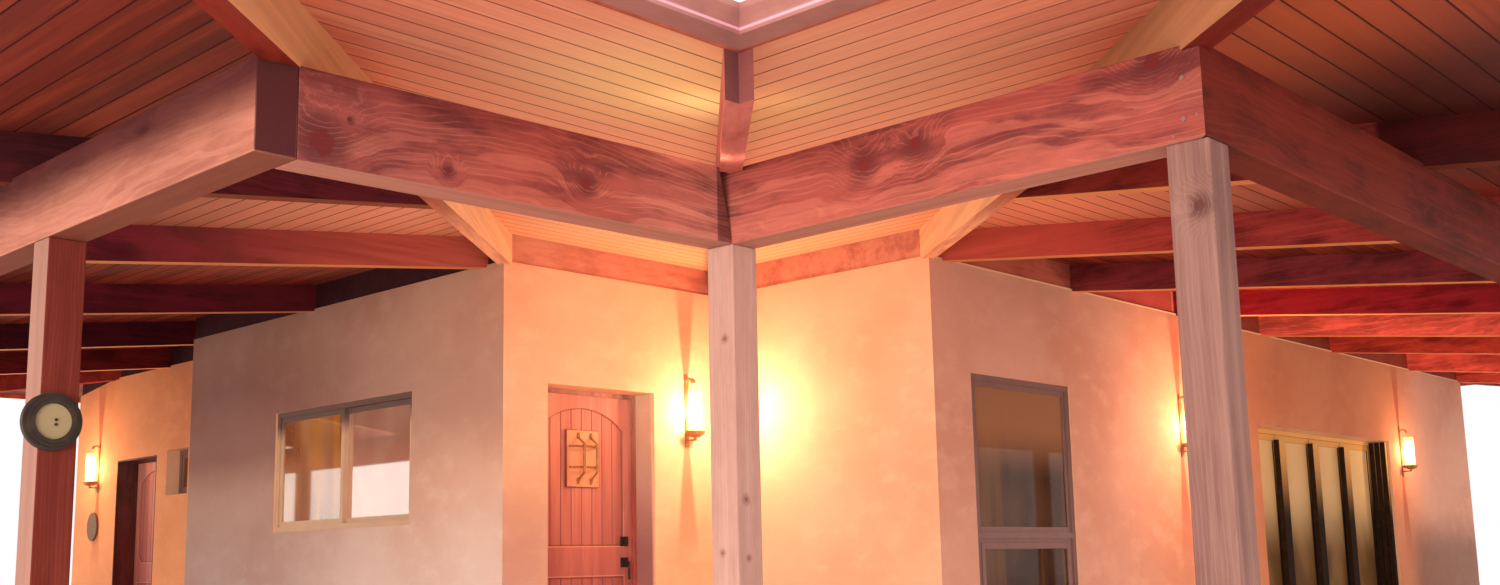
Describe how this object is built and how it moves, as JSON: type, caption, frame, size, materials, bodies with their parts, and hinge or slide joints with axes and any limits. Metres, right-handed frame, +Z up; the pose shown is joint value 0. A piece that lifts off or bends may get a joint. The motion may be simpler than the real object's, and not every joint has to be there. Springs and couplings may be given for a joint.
{
  "type": "adobe house",
  "caption": "Single-storey adobe house with a timber veranda wrapping its notched entry corner, a low hipped board roof and plank doors.",
  "frame": {"origin": "the re-entrant corner of the entry walls, at ground level", "axes": "+X along the right wall away from the entry corner, +Y along the left wall away from it, +Z up"},
  "size_m": [18.085, 16.135, 3.8386],
  "materials": {
    "adobe": "hand-trowelled earth plaster",
    "slab": "smooth concrete",
    "weathered_post": "weathered and faintly stained",
    "beam_timber": "red-brown stain with large knots",
    "rafter_timber": "deep red-brown stain",
    "roof_boards": "clear orange-brown stain",
    "roof_metal": "satin brown",
    "gutter_metal": "satin red-brown",
    "door_timber": "satin red-brown varnish",
    "window_frame": "satin taupe",
    "dark_bronze": "satin dark bronze",
    "pane": "clear"
  },
  "bodies": {
    "house": {"front_wall_left": "adobe", "front_wall_right": "adobe", "front_wall_head": "adobe", "entry_side_wall": "adobe", "right_wall_near": "adobe", "right_wall_head": "adobe", "right_wall_far": "adobe", "left_wall": "adobe", "far_left_wall_near": "adobe", "far_left_wall_head": "adobe", "far_left_wall_far": "adobe", "back_wall": "adobe", "floor_slab": "slab", "thresholds": "slab", "centre_post": "weathered_post", "left_post": "weathered_post", "right_post": "weathered_post", "far_posts": "weathered_post", "left_inner_beam": "beam_timber", "right_inner_beam": "beam_timber", "left_outer_beam": "beam_timber", "right_outer_beam": "beam_timber", "left_hip": "rafter_timber", "right_hip": "rafter_timber", "valley_rafter": "rafter_timber", "back_hips": "rafter_timber", "left_rafters": "rafter_timber", "right_rafters": "rafter_timber", "back_rafters": "rafter_timber", "wall_blocking": "rafter_timber", "left_deck": "roof_boards", "entry_left_deck": "roof_boards", "entry_right_deck": "roof_boards", "right_deck": "roof_boards", "back_deck": "roof_boards", "roof_covering": "roof_metal", "fascia": "beam_timber", "front_gutter": "gutter_metal", "door_frames": "door_timber", "left_window_frame": "window_frame", "right_window_frame": "window_frame", "small_window_frame": "window_frame", "glass_door_frames": "dark_bronze", "back_window_frames": "window_frame", "window_glass": "pane", "lanterns": "dark_bronze", "lantern_glasses": "pane", "post_dial": "dark_bronze", "oval_plaque": "dark_bronze"},
    "front_door": {"front_door_leaf": "door_timber", "front_door_hardware": "dark_bronze"},
    "side_door": {"side_door_leaf": "door_timber", "side_door_hardware": "dark_bronze"}
  },
  "joints": [
    {"name": "front_door_hinge", "type": "hinge", "parent": "house", "child": "front_door", "pos_m": [-1.5665, 0.2643, 0], "axis": [0, 0, 1], "range_deg": [0, 90]},
    {"name": "side_door_hinge", "type": "hinge", "parent": "house", "child": "side_door", "pos_m": [-0.7857, 7.6985, 0], "axis": [0, 0, 1], "range_deg": [0, 90]}
  ]
}
